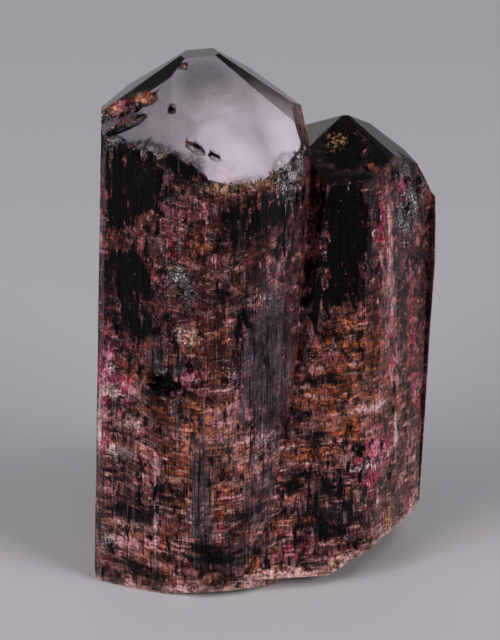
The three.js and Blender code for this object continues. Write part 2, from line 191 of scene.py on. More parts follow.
# For each zone its patches: the centre, the half width and half height in mm, the strength
PLACES = {
    # Dark see-through windows, the slots and scoop of the left end, the two pits
    Zone.CLEAR: (
        (-16.0, -11.2, 55.3, 4.0, 4.7, 1.20),
        (-17.9, -10.4, 51.3, 1.8, 3.6, 0.90),
        (-16.5, -11.3, 43.0, 3.2, 3.6, 1.20),
        (-15.8, -11.7, 36.5, 2.8, 2.7, 1.00),
        (-0.0, -12.3, 51.4, 5.0, 2.7, 1.00),
        (2.5, -10.4, 46.0, 2.0, 3.6, 0.50),
        (0.4, -11.8, 33.2, 1.2, 4.1, 0.30),
        (9.9, -4.3, 46.7, 3.2, 6.6, 1.30),
        (9.3, -5.3, 39.8, 3.8, 4.1, 1.00),
        (6.1, -6.3, 38.8, 1.1, 10.9, 0.80),
        (11.7, -7.3, 17.4, 1.0, 1.1, 1.20),
        (-12.4, -12.3, 28.8, 2.1, 1.6, 1.40),
        (-9.3, -13.5, 58.3, 2.5, 1.4, 1.00),
        (-10.9, -13.2, 59.2, 1.2, 0.8, 1.00),
        (-16.6, -8.1, 62.4, 3.2, 1.2, 0.62),
        (4.5, -7.8, 52.0, 2.2, 1.2, 1.10),
        (9.9, 0.6, 54.7, 4.0, 4.7, 1.00),
        (18.5, 4.1, 41.1, 0.6, 5.5, 0.50),
        # painted shade: the dark shadow in the seam between the crystals near the base
        (-0.3, -12.3, 4.5, 0.8, 2.7, 0.35),
        (-8.4, -11.2, 59.7, 1.1, 0.8, 0.80),
        (-6.4, -11.5, 58.8, 0.8, 0.7, 0.80),
        (-11.3, -8.3, 63.4, 0.6, 0.8, 1.20),
        (-4.0, -14.1, 49.9, 1.8, 2.2, 0.70),
        (-3.0, -13.6, 36.7, 1.0, 4.1, 0.50),
        (19.5, 5.9, 43.8, 1.0, 1.9, 0.60),
        # painted shade: darkens the upper left of the broad end face, where the light's reflection falls off
        (-7.2, -5.1, 65.7, 5.2, 4.1, 0.50),
        (8.2, -9.5, 10.4, 5.8, 4.9, 0.55),
        (-14.8, -12.4, 11.5, 6.5, 6.0, 0.30),
    ),
    # Level bands of nearly black tourmaline
    Zone.BAND: (
        (-17.1, -11.4, 10.7, 3.0, 1.8, 1.20),
        (-18.3, -10.6, 15.6, 2.8, 1.0, 1.00),
        (-17.2, -11.4, 3.2, 3.0, 1.4, 0.80),
        (-6.1, -14.1, 5.9, 4.2, 1.9, 1.10),
        (-1.3, -12.7, 11.0, 1.8, 2.2, 1.00),
        (-1.5, -12.9, 23.9, 1.5, 1.0, 0.90),
        (-11.5, -13.3, 12.6, 1.5, 1.4, 0.80),
        (-4.5, -13.9, 21.1, 1.8, 0.7, 0.70),
        (6.9, -7.7, 27.1, 2.5, 1.1, 1.10),
        (5.0, -8.6, 22.7, 1.1, 1.0, 0.90),
        (6.7, -8.8, 19.5, 1.9, 1.1, 1.00),
        (4.1, -10.0, 14.5, 2.2, 1.9, 1.10),
        (8.8, -9.0, 13.5, 3.0, 1.8, 0.90),
        (8.0, -9.8, 8.7, 4.1, 2.3, 1.20),
        (-14.2, -12.5, 24.0, 1.8, 0.7, 0.60),
        (-18.0, -10.6, 21.7, 1.8, 0.8, 0.70),
        (11.2, -6.1, 31.3, 1.8, 1.1, 0.50),
        (5.2, -10.6, 7.9, 1.8, 2.2, 0.80),
    ),
    # Painted sheen: a mauve grey reflection painted on smooth growth faces, with dark lines
    Zone.SHEEN: (
        (0.4, -11.8, 30.5, 4.2, 11.5, 1.10),
        (-8.0, -14.3, 13.9, 1.5, 10.3, 1.00),
        (-4.9, -14.1, 5.7, 4.2, 3.0, 0.70),
        (-0.3, -12.0, 14.1, 2.5, 4.1, 0.60),
        (2.1, -10.5, 39.3, 2.5, 5.5, 0.50),
        (-13.4, -12.8, 32.7, 1.1, 1.1, 1.20),
        (-10.7, -13.0, 31.8, 1.1, 1.1, 1.20),
    ),
    # Crimson and pink fluid veils
    Zone.PINK: (
        (-19.6, -9.8, 29.8, 1.5, 4.7, 1.50),
        (-20.0, -9.3, 38.8, 0.6, 4.1, 0.60),
        (-9.3, -13.1, 29.7, 1.0, 1.4, 1.80),
        (14.5, -5.5, 17.0, 2.5, 2.1, 1.40),
        (13.5, -7.2, 13.4, 2.5, 1.6, 1.00),
        (14.8, -2.2, 45.4, 1.0, 4.1, 1.10),
        (16.0, -1.6, 29.9, 0.9, 6.3, 1.10),
        (14.5, -5.3, 19.2, 1.8, 1.1, 0.90),
        (-17.4, -5.1, 62.5, 2.2, 1.1, 1.20),
        (17.1, 2.5, 48.6, 1.5, 2.2, 0.80),
        (20.9, 7.9, 40.2, 0.8, 6.8, 0.70),
        (-20.3, -9.7, 19.9, 1.0, 2.2, 1.40),
        (-14.2, -12.6, 19.3, 1.0, 12.3, 0.35),
        (-5.3, -14.0, 10.9, 0.8, 8.2, 0.35),
        (4.2, -11.1, 6.0, 3.5, 1.6, 0.50),
        (6.2, -3.8, 47.8, 1.0, 2.2, 0.50),
        (-11.8, -13.0, 48.4, 3.0, 2.2, 0.30),
        (-7.9, -14.1, 52.1, 3.0, 1.9, 0.35),
        (4.5, -11.1, 5.6, 2.8, 1.1, 0.60),
        (0.9, -11.7, 7.0, 1.0, 2.5, 0.45),
        (13.5, -7.5, 10.5, 2.2, 1.1, 0.70),
        (12.7, -7.5, 15.8, 2.0, 1.1, 1.20),
        (-17.9, -10.6, 29.2, 2.0, 1.9, 0.80),
        (20.2, 5.9, 32.1, 0.5, 8.2, 0.70),
        (16.6, 1.5, 47.6, 1.0, 0.8, 1.00),
        (19.5, 3.7, 22.0, 0.6, 8.2, 0.80),
        (18.9, 3.1, 26.4, 1.0, 10.4, 1.20),
        (12.0, -8.1, 15.0, 3.8, 1.6, 0.60),
        (-18.2, -10.5, 26.5, 2.5, 2.7, 0.80),
        (-16.5, -11.3, 39.7, 1.0, 1.6, 0.70),
        (-20.4, -9.1, 28.5, 0.8, 2.7, 1.20),
        (14.3, -4.7, 28.6, 0.4, 3.3, 1.00),
        (15.8, 0.3, 50.0, 0.6, 0.8, 1.30),
        (18.6, 3.4, 33.2, 0.4, 10.9, 0.70),
    ),
    # Iron-stained places
    Zone.RUST: (
        (-8.0, -14.2, 24.1, 6.2, 3.3, 0.80),
        (-11.7, -13.1, 25.4, 3.0, 1.6, 0.70),
        (18.9, 3.1, 26.4, 1.4, 9.0, 1.20),
        (5.6, -8.3, 24.5, 3.2, 1.0, 0.90),
        (10.3, -7.7, 20.9, 2.2, 1.9, 1.00),
        (6.2, -9.2, 17.5, 3.2, 1.2, 0.90),
        (16.8, -1.0, 21.9, 1.0, 2.5, 0.90),
        (9.1, -6.3, 33.0, 3.5, 2.2, 0.70),
        (-0.4, -12.5, 40.2, 1.0, 2.2, 0.50),
        (-14.6, -5.8, 64.1, 1.5, 1.1, 1.00),
        (-17.9, -6.9, 62.7, 2.0, 1.1, 0.70),
        (4.7, 0.4, 59.0, 1.6, 2.5, 1.00),
        (9.1, 1.1, 55.2, 2.6, 2.3, 0.90),
        (13.1, -1.3, 53.1, 1.2, 1.1, 1.00),
        (6.8, -1.3, 53.9, 0.8, 0.8, 0.80),
        (-1.2, -12.6, 3.5, 1.2, 1.9, 1.00),
        (-3.1, -13.4, 18.9, 5.0, 3.0, 0.80),
        (-16.6, -11.6, 7.4, 2.2, 1.2, 0.80),
        (-5.7, -13.1, 57.6, 5.0, 1.1, 0.50),
        (-8.1, -14.0, 57.2, 1.2, 1.1, 0.80),
        (-4.8, -14.0, 36.9, 1.2, 2.7, 0.50),
        (-7.9, -14.1, 36.2, 2.8, 1.6, 0.50),
        (2.9, -10.6, 12.0, 0.8, 5.5, 0.40),
        (12.7, -6.4, 25.3, 8.0, 10.9, 0.75),
        (-7.4, -14.3, 18.0, 7.5, 6.3, 0.50),
        (-14.3, -12.6, 7.5, 6.2, 4.1, 0.20),
        (17.0, 0.4, 30.4, 0.8, 5.5, 0.60),
    ),
    # Pale clay and gold flecks
    Zone.TAN: (
        (-9.4, -13.1, 35.5, 1.2, 1.2, 0.70),
        (-3.0, -13.9, 55.8, 5.8, 0.8, 1.00),
        (1.3, -11.4, 56.1, 1.2, 0.8, 0.80),
        (-10.1, -12.8, 44.1, 1.5, 0.8, 0.50),
        (-9.9, -4.1, 67.6, 0.4, 1.2, 0.90),
        (-12.1, -12.8, 59.9, 1.1, 1.0, 0.70),
        (8.9, 1.6, 55.5, 1.6, 1.4, 0.85),
        (16.2, -3.8, 5.9, 2.0, 3.0, 0.80),
        (10.1, -10.1, 3.4, 3.0, 1.4, 0.60),
        (-16.4, -5.3, 64.0, 2.2, 0.7, 0.60),
        (1.7, -10.6, 21.7, 0.8, 2.7, 0.40),
        (-11.1, -12.7, 44.5, 1.0, 0.4, 0.80),
        (-18.6, -5.1, 62.8, 1.5, 1.0, 1.00),
        (-15.2, -5.7, 63.8, 1.2, 0.8, 0.90),
        (-10.4, -13.0, 36.8, 1.5, 0.7, 0.75),
        (-8.9, -13.4, 35.7, 0.9, 1.6, 0.80),
    ),
    # Etched and drusy skin
    Zone.FROST: (
        (-10.6, -12.7, 43.5, 1.2, 1.5, 1.15),
        (-9.5, -13.1, 41.4, 1.1, 1.5, 1.10),
        (3.4, -11.2, 55.5, 1.8, 4.1, 1.70),
        (-18.6, -9.9, 59.5, 2.2, 1.0, 1.00),
        (-13.9, -12.2, 59.6, 3.0, 1.0, 0.90),
        (-10.8, -13.2, 57.9, 1.8, 0.8, 0.60),
        (17.6, 3.4, 49.6, 1.8, 3.3, 1.20),
        (-17.7, -10.7, 26.2, 3.0, 1.4, 0.70),
        (-19.8, -9.7, 27.1, 1.0, 1.6, 0.80),
        (-20.2, -9.8, 5.6, 1.8, 1.2, 0.90),
        (-15.8, -5.0, 64.6, 2.0, 0.4, 0.70),
        (4.6, -6.2, 34.7, 0.4, 5.5, 0.50),
        (16.7, 0.5, 35.8, 0.4, 9.6, 0.60),
        (-10.7, -13.4, 25.1, 1.5, 0.7, 0.70),
        (-20.3, -8.8, 38.6, 0.4, 20.5, 0.50),
        (-18.0, -10.6, 18.3, 2.5, 0.7, 0.70),
        (-13.7, -12.8, 13.1, 0.5, 9.6, 0.50),
        (-11.6, -13.0, 40.4, 2.5, 5.5, 0.25),
        (-2.4, -13.6, 55.8, 5.8, 0.4, 0.70),
        (-18.9, -10.2, 26.7, 2.0, 1.6, 0.80),
        (18.2, 4.0, 47.1, 1.0, 2.2, 1.00),
        (4.3, -8.0, 56.2, 0.8, 1.9, 1.40),
        (-12.9, -12.9, 30.7, 0.8, 0.5, 1.20),
    ),
    # Painted highlight: a pale lilac reflection of the light painted on the bright broad end face
    Zone.BLOOM: (
        (-1.1, -10.0, 59.0, 11.8, 8.5, 1.00),
    ),
    # Milky pink veils
    Zone.MILK: (
        (15.5, -1.3, 42.8, 1.8, 6.6, 1.35),
        (15.7, -1.4, 35.3, 1.8, 6.8, 1.40),
        (16.1, -1.3, 27.7, 1.6, 6.8, 1.10),
        (19.6, 5.5, 39.2, 0.6, 4.1, 0.70),
        (1.8, -10.8, 44.5, 3.0, 1.6, 0.70),
        (-4.0, -14.0, 42.2, 3.2, 3.0, 0.30),
        (-14.0, -12.3, 48.6, 3.8, 1.9, 0.50),
        (-4.5, -14.1, 53.5, 1.2, 5.5, 0.40),
        (-8.1, -14.0, 52.8, 3.2, 2.5, 0.50),
        (-17.9, -10.5, 27.2, 2.8, 1.1, 1.50),
        (-18.0, -10.6, 19.0, 3.0, 0.8, 1.20),
        (-19.7, -9.8, 24.4, 1.5, 1.6, 1.40),
        (-16.9, -11.5, 6.9, 3.2, 0.8, 1.40),
        (-19.1, -10.3, 13.3, 2.0, 0.4, 0.80),
        (-13.0, -13.0, 16.0, 1.2, 4.1, 0.40),
        (-4.0, -13.8, 24.9, 3.2, 1.4, 0.70),
        (-1.8, -13.1, 27.0, 3.8, 0.8, 0.60),
        (-3.1, -13.4, 17.8, 3.8, 1.6, 0.50),
        (13.9, -5.7, 22.6, 3.5, 0.8, 1.40),
        (16.6, -2.0, 16.6, 0.6, 3.0, 1.40),
        (10.7, -8.2, 16.5, 3.8, 0.8, 0.60),
        (15.2, -4.7, 9.9, 2.5, 1.9, 0.50),
        (4.5, -11.0, 5.9, 3.2, 0.8, 0.40),
        # painted highlight: a thin pale strip along the left crystal's left edge
        (-20.2, -8.7, 45.2, 0.4, 8.2, 0.80),
        (-20.5, -9.1, 25.2, 0.4, 16.4, 0.50),
        (-13.5, -12.8, 13.1, 0.4, 8.2, 1.10),
        (8.2, -9.4, 11.4, 7.5, 0.4, 0.50),
        (6.0, -10.8, 5.8, 0.4, 4.1, 0.90),
        (14.3, -6.5, 10.0, 0.6, 0.7, 1.00),
        (-6.1, -14.3, 55.5, 3.8, 0.8, 0.50),
        (13.2, -7.2, 14.8, 3.5, 0.5, 1.50),
        (13.0, -6.9, 19.3, 2.0, 0.3, 1.00),
        (-9.5, -13.0, 30.1, 1.0, 1.0, 1.20),
        (-19.9, -9.6, 29.5, 1.0, 1.6, 0.90),
        (-16.7, -11.4, 23.5, 3.2, 0.5, 1.30),
        (4.4, -6.3, 37.5, 0.4, 8.2, 0.60),
        (-20.2, -8.6, 47.9, 0.2, 6.8, 1.00),
        (-4.7, -14.1, 46.0, 2.5, 0.7, 0.60),
        (0.9, -11.5, 41.1, 3.2, 0.8, 0.70),
        (8.2, -10.4, 3.5, 0.2, 2.7, 0.90),
        (-2.4, -13.3, 22.3, 5.0, 5.5, 0.55),
        (15.9, -1.0, 35.1, 1.5, 8.2, 0.60),
        (6.6, -6.4, 37.5, 0.5, 8.2, 0.30),
    ),
    # Places with few markings
    Zone.CALM: (
        (-3.3, -13.8, 47.4, 3.2, 5.5, 1.20),
        (-4.9, -14.0, 34.9, 3.0, 6.0, 1.30),
        (10.0, -6.7, 28.8, 3.2, 1.9, 0.50),
        (-11.9, -13.0, 34.4, 2.0, 2.7, 0.50),
        (10.6, -5.4, 37.1, 2.5, 1.9, 0.50),
        (8.2, -9.5, 10.8, 5.5, 4.9, 1.00),
        (5.1, -11.2, 3.7, 4.2, 1.4, 0.90),
        (-11.2, -13.3, 13.4, 3.8, 4.1, 0.70),
        (-6.1, -14.2, 22.1, 3.8, 3.3, 0.60),
        (10.1, -9.4, 8.6, 5.0, 4.1, 0.90),
    ),
    # Whitish pink crusts and ridges
    Zone.CRUST: (
        (10.4, -9.5, 7.3, 0.2, 3.0, 0.90),
        (12.8, -8.2, 9.8, 0.2, 2.7, 0.80),
        (-13.7, -12.8, 13.1, 0.2, 8.5, 0.90),
        (6.0, -10.7, 6.2, 0.2, 3.3, 0.90),
        (13.4, -6.1, 22.6, 3.5, 0.5, 1.10),
        (16.6, -1.9, 17.9, 0.5, 2.7, 1.20),
        (13.0, -7.4, 15.2, 3.2, 0.5, 1.30),
        (10.7, -8.2, 16.7, 0.9, 0.5, 1.00),
        (-20.6, -9.0, 22.3, 0.5, 6.0, 1.10),
        (-19.2, -10.0, 26.7, 1.8, 1.0, 1.20),
        (-16.5, -11.5, 22.9, 3.2, 0.5, 1.00),
        (-17.8, -10.8, 18.8, 3.0, 0.7, 1.10),
        (-9.7, -13.0, 36.0, 1.4, 1.6, 0.60),
        (-16.8, -11.0, 37.9, 1.9, 0.5, 1.10),
        (-18.4, -10.7, 6.5, 2.8, 0.5, 0.90),
        (14.3, -6.5, 10.0, 0.6, 0.7, 1.10),
        (-0.4, -12.5, 40.2, 3.5, 0.4, 0.80),
        (-0.3, -12.1, 21.4, 4.0, 0.4, 0.80),
        (0.4, -11.6, 18.9, 3.5, 0.4, 0.70),
        (-4.0, -13.9, 31.1, 0.8, 1.9, 0.60),
        (-18.9, -10.1, 30.4, 0.8, 1.4, 0.90),
        (15.9, -1.0, 35.1, 0.4, 5.5, 0.80),
        (15.6, -1.0, 44.4, 0.4, 5.5, 0.90),
        (-18.2, -10.9, 1.6, 3.0, 0.4, 0.70),
        (-7.7, -14.3, 11.1, 0.2, 5.5, 0.50),
        (6.6, -7.2, 31.1, 0.2, 5.5, 0.40),
        (17.6, 2.3, 40.5, 0.2, 6.8, 0.60),
        (-17.1, -11.4, 12.8, 3.2, 0.3, 0.70),
        (-17.4, -11.3, 9.0, 3.2, 0.3, 0.60),
        (-3.7, -13.6, 17.6, 3.8, 0.3, 0.50),
        (-16.9, -11.5, 4.8, 2.5, 0.4, 0.60),
        # painted highlight: a light line along the lower edge of the right crystal's end face
        (10.5, -3.5, 51.4, 2.8, 0.3, 0.90),
        (-8.9, -13.4, 35.9, 0.6, 1.4, 0.80),
        (-2.6, -13.7, 55.3, 5.5, 0.3, 0.60),
        (15.2, -2.9, 31.9, 0.2, 6.8, 0.60),
        (16.8, -0.7, 24.0, 0.2, 5.5, 0.60),
    ),
}
PATCHES = tuple(Patch(zone, row[:3], *row[3:]) for zone, rows in PLACES.items() for row in rows)


@dataclass
class Skin:
    """The solid's surface as points in millimetres and triangles, cut finer where it needs it."""

    points: np.ndarray
    faces: np.ndarray

    @classmethod
    def from_node(cls, node: bpy.types.Object) -> "Skin":
        """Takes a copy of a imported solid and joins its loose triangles."""
        shape = bmesh.new()
        shape.from_mesh(node.data)
        bmesh.ops.remove_doubles(shape, verts=shape.verts, dist=MERGE)
        bmesh.ops.triangulate(shape, faces=shape.faces)
        shape.verts.index_update()
        points = np.array([v.co for v in shape.verts]) / MM
        faces = np.array([[v.index for v in f.verts] for f in shape.faces])
        shape.free()
        return cls(points, faces)

    def normals(self) -> np.ndarray:
        """Unit normals of the triangles."""
        a, b, c = (self.points[self.faces[:, i]] for i in range(3))
        across = np.cross(b - a, c - a)
        return across / np.maximum(np.linalg.norm(across, axis=1, keepdims=True), TINY)

    def point_normals(self) -> np.ndarray:
        """Unit normals of the points, each triangle counting by its area."""
        a, b, c = (self.points[self.faces[:, i]] for i in range(3))
        across = np.cross(b - a, c - a)
        total = np.zeros_like(self.points)
        for i in range(3):
            np.add.at(total, self.faces[:, i], across)
        return total / np.maximum(np.linalg.norm(total, axis=1, keepdims=True), TINY)

    def edges(self) -> tuple[np.ndarray, np.ndarray]:
        """The two points of each edge, and the numbers of the two triangles that share it."""
        ends = np.sort(self.faces[:, [[0, 1], [1, 2], [2, 0]]], axis=2).reshape(-1, 2)
        order = np.lexsort((ends[:, 1], ends[:, 0]))
        return ends[order[::2]], np.stack([order[::2] // 3, order[1::2] // 3], axis=1)

    def sharp_points(self) -> np.ndarray:
        """The places of the points on edges where two growth faces meet."""
        ends, sides = self.edges()
        normals = self.normals()
        turn = (normals[sides[:, 0]] * normals[sides[:, 1]]).sum(axis=1)
        upper = (normals[sides][:, :, 2] > -BASE_DOWN).all(axis=1)
        return self.points[np.unique(ends[(turn < math.cos(EDGE_TURN)) & upper])]

    def base_rim(self) -> np.ndarray:
        """The places of the points where the broken base meets the walls."""
        ends, sides = self.edges()
        down = self.normals()[sides][:, :, 2] < -BASE_DOWN
        found = self.points[np.unique(ends[down[:, 0] != down[:, 1]])]
        return found[found[:, 2] < BASE_TOP]

    def spans(self) -> tuple[np.ndarray, np.ndarray]:
        """The longest edge that each triangle may keep, across and up."""
        up = self.normals()[:, 2]
        across = np.where(up > END_FACE_UP, END_SPAN, WALL_SPAN[0])
        rise = np.where(up > END_FACE_UP, END_SPAN, WALL_SPAN[1])
        below = up < -END_FACE_UP
        middle = self.points[self.faces].mean(axis=1)
        rough = sum(p.weight(middle) for p in PATCHES if p.zone is Zone.FROST) > ROUGH_FROM
        across = np.where(below, BASE_SPAN, np.where(rough, ROUGH_SPAN, across))
        rise = np.where(below, BASE_SPAN, np.where(rough, ROUGH_SPAN, rise))
        return across, rise

    def split(self) -> int:
        """Halves every edge that is too long for one of its triangles.

        Returns:
            How many edges were halved.
        """
        across, rise = self.spans()
        ends = self.faces[:, [[0, 1], [1, 2], [2, 0]]]
        step = self.points[ends[..., 1]] - self.points[ends[..., 0]]
        flat = (step[..., 0] ** 2 + step[..., 1] ** 2) / across[:, None] ** 2
        wanted = flat + step[..., 2] ** 2 / rise[:, None] ** 2 > 1
        low, high = ends.min(axis=2), ends.max(axis=2)
        count = len(self.points)
        keys, place = np.unique(low.astype(np.int64) * count + high, return_inverse=True)
        place = place.reshape(-1, 3)
        marked = np.zeros(len(keys), bool)
        marked[place[wanted]] = True
        added = int(marked.sum())
        if not added:
            return 0
        middle = np.full(len(keys), -1)
        middle[marked] = count + np.arange(added)
        halves = (self.points[keys[marked] // count] + self.points[keys[marked] % count]) / 2
        self.points = np.vstack([self.points, halves])
        self.faces = cut_triangles(self.faces, middle[place])
        return added


def cut_triangles(faces: np.ndarray, middles: np.ndarray) -> np.ndarray:
    """Cuts triangles at the middles of their marked edges.

    Args:
        faces: three point numbers a row.
        middles: the point in the middle of each edge, or -1 where the edge stays whole.

    Returns:
        The new triangles.
    """
    cut = middles >= 0
    number = cut.sum(axis=1)
    turn = np.where(number == 1, cut.argmax(axis=1), (cut.argmin(axis=1) + 1) % 3)
    order = (turn[:, None] + np.arange(3)) % 3
    rows = np.arange(len(faces))[:, None]
    (a, b, c), (ab, bc, ca) = faces[rows, order].T, middles[rows, order].T
    pieces = [faces[number == 0]]
    for parts, some in (
        (((a, ab, c), (ab, b, c)), number == 1),
        (((ab, b, bc), (a, ab, bc), (a, bc, c)), number == 2),
        (((a, ab, ca), (ab, b, bc), (ca, bc, c), (ab, bc, ca)), number == 3),
    ):
        pieces += [np.stack(part, axis=1)[some] for part in parts]
    return np.vstack(pieces)


def hidden_patches(skin: Skin) -> tuple[Patch, ...]:
    """Strews patches over the sides that the photograph doesn't show, always in the same places."""
    draw = np.random.default_rng(HIDDEN_SEED)
    normals = skin.point_normals()
    places = skin.points[(normals[:, 1] > HIDDEN_FACING) & (np.abs(normals[:, 2]) < END_FACE_UP)]
    patches = []
    for number in range(HIDDEN_PATCHES):
        centre = places[draw.integers(len(places))]
        width, height = draw.uniform(*HIDDEN_WIDTH), draw.uniform(*HIDDEN_HEIGHT)
        zone = Zone[HIDDEN_ZONES[number % len(HIDDEN_ZONES)]]
        strength = draw.uniform(*HIDDEN_STRENGTH)
        patches.append(Patch(zone, tuple(centre.tolist()), width, height, strength))
    return tuple(patches)


@dataclass(frozen=True)
class Stain:
    """One layer of the crystal's colour, which covers what is under it where its pattern is strong.

    size is the pattern's grain in millimetres along x, y and z, and bent lays it along the
    curved bands of the crystals. carrier names the value on the skin that brings the stain on,
    with the strength of reach. low and high say where its cover begins and is full.
    """

    name: str
    colour: str
    size: tuple[float, float, float]
    low: float
    high: float
    cover: float = 1.0
    clarity: float = 0.1
    roughness: float = 0.35
    carrier: str = ""
    reach: float = 0.0
    bent: bool = False
    detail: float = 5.0


@dataclass(frozen=True)
class Grain:
    """A fine pattern of light and dark over the colour, with its size in millimetres."""

    size: tuple[float, float, float]
    darkest: float
    lightest: float
    bent: bool = False


@dataclass(frozen=True)
class TourmalineFinish:
    """Rubellite tourmaline: clear and nearly black in the depth, crimson where it is thin.

    The index of 1.63 and the smooth end faces give it the bright glass-like shine; a painted highlight
    lightens the broad end face, painted sheen greys smooth walls and painted highlights light the edges.

    Veils of fluid and fine cracks under the skin scatter mauve and pink, iron stains them
    orange brown, and broken or etched skin is frosted whitish pink. The walls are grooved upright.
    """

    ior: float = 1.63
    specular: float = 0.45
    wall_tint: tuple[float, float, float, float] = (0.09, 0.085, 0.095, 1)
    end_tint: tuple[float, float, float, float] = (0.62, 0.55, 0.60, 1)
    depth_colour: tuple[float, float, float, float] = (0.80, 0.05, 0.20, 1)
    depth_density: float = 700.0
    base: str = "#1a0709"
    stains: tuple[Stain, ...] = (
        Stain("haze", "#561f21", (2.6, 2.6, 2.4), 0.42, 0.62, 0.85, 0.15, 0.35, "", 0.0, False, 3.0),
        Stain("veil", "#a25257", (1.3, 1.3, 1.5), 0.49, 0.68, 0.85, 0.1, 0.35, "", 0.0, False, 3.0),
        Stain("blush", "#9e5054", (2.8, 2.8, 1.2), 0.54, 0.70, 0.85, 0.1, 0.35, "low", 0.07, True, 3.5),
        Stain("clot", "#4c0a12", (1.5, 1.5, 1.8), 0.56, 0.68, 0.8, 0.2, 0.3),
        Stain("calm", "#48201f", (4.0, 4.0, 6.0), 0.54, 0.66, 0.8, 0.25, 0.3, "calm", 0.14, detail=3.0),
        Stain("umber", "#84431f", (2.8, 2.8, 1.1), 0.53, 0.69, 0.8, 0.2, 0.35, "low", 0.06, True, 4.0),
        Stain("rust", "#c86830", (1.1, 1.1, 0.5), 0.60, 0.84, 0.9, 0.1, 0.4, "rust", 0.26, True),
        Stain("fibre", "#e0a09a", (2.6, 2.6, 0.55), 0.56, 0.74, 0.85, 0.1, 0.4, "low", 0.07, True, 4.0),
        Stain("milk", "#d48e92", (0.8, 0.8, 1.6), 0.58, 0.76, 0.85, 0.1, 0.35, "milk", 0.24),
        Stain("ash", "#3a3836", (0.9, 0.9, 0.9), 0.60, 0.72, 0.9, 0.0, 0.4, "frost", 0.26),
        Stain("frost", "#e2dee4", (0.24, 0.24, 0.24), 0.64, 0.72, 0.9, 0.0, 0.5, "frost", 0.11, False, 3.0),
        Stain("crimson", "#b42c50", (1.2, 1.2, 1.2), 0.60, 0.80, 0.9, 0.25, 0.25, "pink", 0.25),
        Stain("rose", "#f4a0b8", (0.5, 0.5, 0.6), 0.76, 0.92, 0.9, 0.1, 0.3, "pink", 0.24),
        # tiny pale specks painted over the veils as glints of light
        Stain("painted_sparkle", "#e6bcbc", (0.2, 0.2, 0.4), 0.66, 0.76, 0.8, 0.1, 0.4),
        Stain("gap", "#0e0406", (1.0, 1.0, 1.6), 0.50, 0.64, 0.88, 0.8, 0.2),
        # sheen paints a mauve grey reflection where the skin carries it
        Stain("painted_sheen", "#5e515a", (1.0, 1.0, 4.0), 0.52, 0.76, 0.85, 0.3, 0.3, "painted_sheen", 0.26),
        Stain("crust", "#ecc8c4", (0.42, 0.42, 0.32), 0.60, 0.82, 0.9, 0.05, 0.4, "crust", 0.26),
        Stain("slit", "#14070a", (2.2, 2.2, 0.6), 0.62, 0.76, 0.7, 0.8, 0.2, "low", 0.03, True, 4.0),
        Stain("window", "#040203", (0.9, 0.9, 3.0), 0.60, 0.70, 1.0, 1.0, 0.12, "clear", 0.26),
        Stain("band", "#17151c", (2.6, 2.6, 0.8), 0.56, 0.76, 0.9, 0.8, 0.15, "band", 0.22, True),
        Stain("streak", "#070304", (0.18, 0.18, 7.0), 0.55, 0.65, 0.85, 0.6, 0.2, "painted_sheen", 0.07),
        # thin grey upright lines painted as highlights of light on the wall grooves
        Stain("painted_groove_highlight", "#7c7078", (0.13, 0.13, 4.5), 0.62, 0.74, 0.28, 0.3, 0.3),
        Stain("ray", "#a8868a", (0.4, 0.4, 12.0), 0.61, 0.77, 0.55, 0.2, 0.3, "low", 0.05),
        Stain("clay", "#b88c60", (0.5, 0.5, 0.7), 0.64, 0.84, 0.9, 0.0, 0.6, "tan", 0.26),
        Stain("rim", "#cfa29a", (0.8, 0.8, 0.5), 0.62, 0.84, 0.85, 0.0, 0.6, "rim", 0.32),
        Stain("glint", "#f4e4e6", (0.16, 0.16, 0.16), 0.80, 0.86, 0.9, 0.0, 0.4, "frost", 0.14, False, 2.0),
        Stain("spark", "#f4dce0", (0.16, 0.16, 0.16), 0.80, 0.86, 0.9, 0.0, 0.4, "pink", 0.12, False, 2.0),
        Stain("face", "#0c0707", (1, 1, 1), 0.3, 1.4, 0.94, 0.9, 0.13, "end", 1.0),
        # bloom paints a pale lilac highlight, the reflection of the light, on the broad end face
        Stain("painted_highlight", "#ccbcc8", (7.0, 7.0, 9.0), 0.54, 1.7, 0.85, 0.0, 0.15, "painted_highlight", 0.9, False, 2.0),
        # edge paints pale highlights along the sharp edges between growth faces
        Stain("edge", "#b09a9e", (0.5, 0.5, 1.2), 0.84, 1.04, 0.5, 0.1, 0.5, "edge", 0.36),
    )
    grains: tuple[Grain, ...] = (
        Grain((4.0, 4.0, 4.5), 0.3, 1.7),
        Grain((0.32, 0.32, 0.28), 0.55, 1.5),
        Grain((0.15, 0.15, 2.2), 0.55, 1.45),
        Grain((1.5, 1.5, 0.30), 0.75, 1.3, True),
    )
    brightest: float = 0.95

    def build(self) -> bpy.types.Material:
        """Makes the material and its nodes."""
        material = bpy.data.materials.new("tourmaline")
        material.use_nodes = True
        tree = material.node_tree
        tree.nodes.clear()
        place = add_node(tree, "ShaderNodeTexCoord").outputs["Object"]
        straight = add_node(
            tree, "ShaderNodeVectorMath", {0: place, 1: (1 / MM,) * 3}, operation="MULTIPLY"
        ).outputs[0]
        places = {False: straight, True: self.along_bands(tree, straight)}
        end = add_node(tree, "ShaderNodeAttribute", attribute_name="end").outputs["Fac"]
        under: tuple[Any, Any, Any] = (linear(self.base), 0.2, 0.32)
        for number, stain in enumerate(self.stains):
            mask = self.mask_of(tree, stain, places[stain.bent], number)
            under = self.cover(tree, stain, mask, under)
        tint = add_node(
            tree, "ShaderNodeMix", {0: end, 6: self.wall_tint, 7: self.end_tint}, data_type="RGBA"
        ).outputs[2]
        shader = add_node(
            tree,
            "ShaderNodeBsdfPrincipled",
            {
                "Base Color": self.grained(tree, under[0], places, end),
                "Transmission Weight": under[1],
                "Roughness": under[2],
                "IOR": self.ior,
                "Specular IOR Level": self.specular,
                "Specular Tint": tint,
                "Normal": self.relief(tree, straight, end),
            },
        )
        depth = add_node(
            tree, "ShaderNodeVolumeAbsorption", {"Color": self.depth_colour, "Density": self.depth_density}
        )
        add_node(tree, "ShaderNodeOutputMaterial", {"Surface": shader.outputs[0], "Volume": depth.outputs[0]})
        return material

